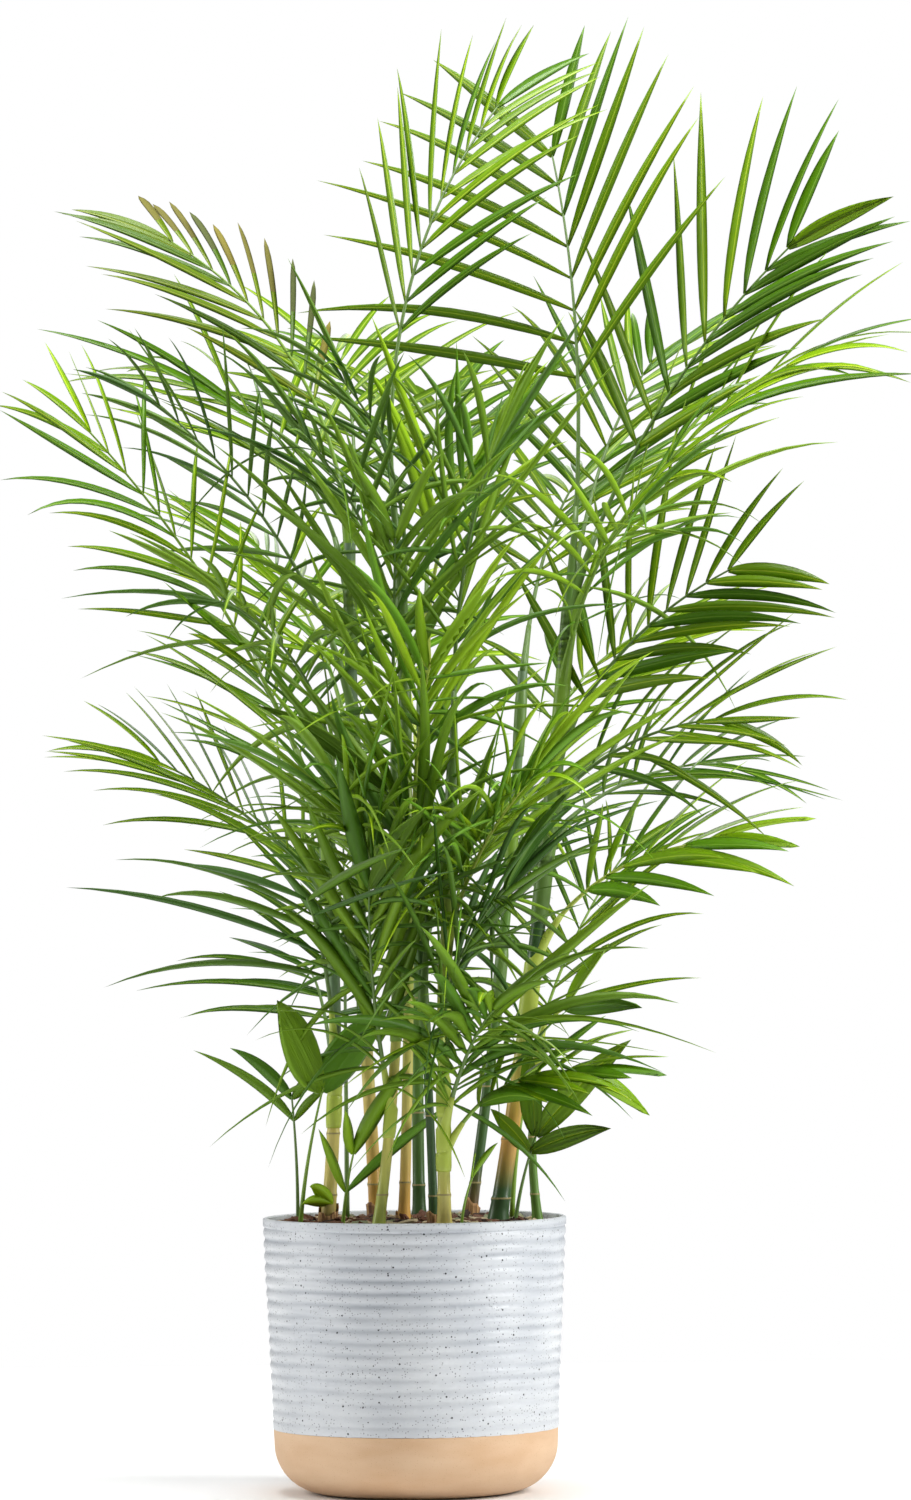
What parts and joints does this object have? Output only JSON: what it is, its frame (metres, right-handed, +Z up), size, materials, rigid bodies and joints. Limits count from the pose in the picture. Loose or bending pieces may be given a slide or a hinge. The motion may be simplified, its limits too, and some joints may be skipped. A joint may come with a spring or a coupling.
{
  "type": "potted bamboo palm",
  "caption": "Clump of slender ringed palm canes with feathery arching fronds, rooted in potting mix in a round ribbed planter with a bare clay foot band.",
  "frame": {"origin": "centre of the planter's flat underside, on the surface that it stands on", "axes": "+Z up along the planter's axis, +X to the right and +Y away from the camera as the picture shows the plant"},
  "size_m": [0.7904, 0.6973, 1.2908],
  "materials": {
    "glaze": "pale speckled satin glaze with throwing ribs",
    "clay": "bare matte peach clay",
    "potting_mix": "loose bark and fibre, matte",
    "cane": "smooth waxy green to yellow with ring scars",
    "leaf": "satin leaf with fine lengthwise veins"
  },
  "bodies": {
    "root": {"pot": "glaze", "soil": "potting_mix", "cane_main": "cane", "cane_left": "cane", "cane_back_left": "cane", "cane_front_left": "cane", "cane_middle": "cane", "cane_back_middle": "cane", "cane_front_dark": "cane", "cane_front": "cane", "cane_back_right": "cane", "cane_right": "cane", "frond_crown": "leaf", "frond_peak": "leaf", "frond_upper_right": "leaf", "frond_high_right": "leaf", "frond_mid_right": "leaf", "frond_low_right": "leaf", "frond_right_back": "leaf", "frond_broad_right": "leaf", "frond_upper_left": "leaf", "frond_high_left": "leaf", "frond_mid_left": "leaf", "frond_far_left": "leaf", "frond_left_front": "leaf", "frond_low_left": "leaf", "frond_foot_left": "leaf", "frond_foot_back": "leaf", "frond_centre": "leaf", "frond_centre_right": "leaf", "frond_centre_tall": "leaf", "frond_right_front": "leaf", "frond_left_centre": "leaf", "frond_young_right": "leaf", "frond_young_left": "leaf", "frond_young_centre": "leaf", "frond_low_front": "leaf", "frond_inner_left": "leaf", "frond_inner_low_left": "leaf", "frond_inner_low_right": "leaf", "frond_inner_low": "leaf", "frond_inner_back": "leaf", "frond_back_upper_left": "leaf", "frond_back_left": "leaf", "frond_back_top": "leaf", "frond_back_centre": "leaf", "frond_back_right": "leaf", "frond_back_low_right": "leaf", "frond_back_foot": "leaf", "frond_back_upper_right": "leaf", "frond_back_far_left": "leaf", "frond_back_low_left": "leaf", "frond_back_low": "leaf", "leaf_forked": "leaf", "leaf_foot_left": "leaf", "leaf_foot_front": "leaf", "leaf_low_front": "leaf", "leaf_low_right": "leaf", "leaf_right": "leaf", "leaf_foot_right": "leaf"}
  },
  "joints": []
}
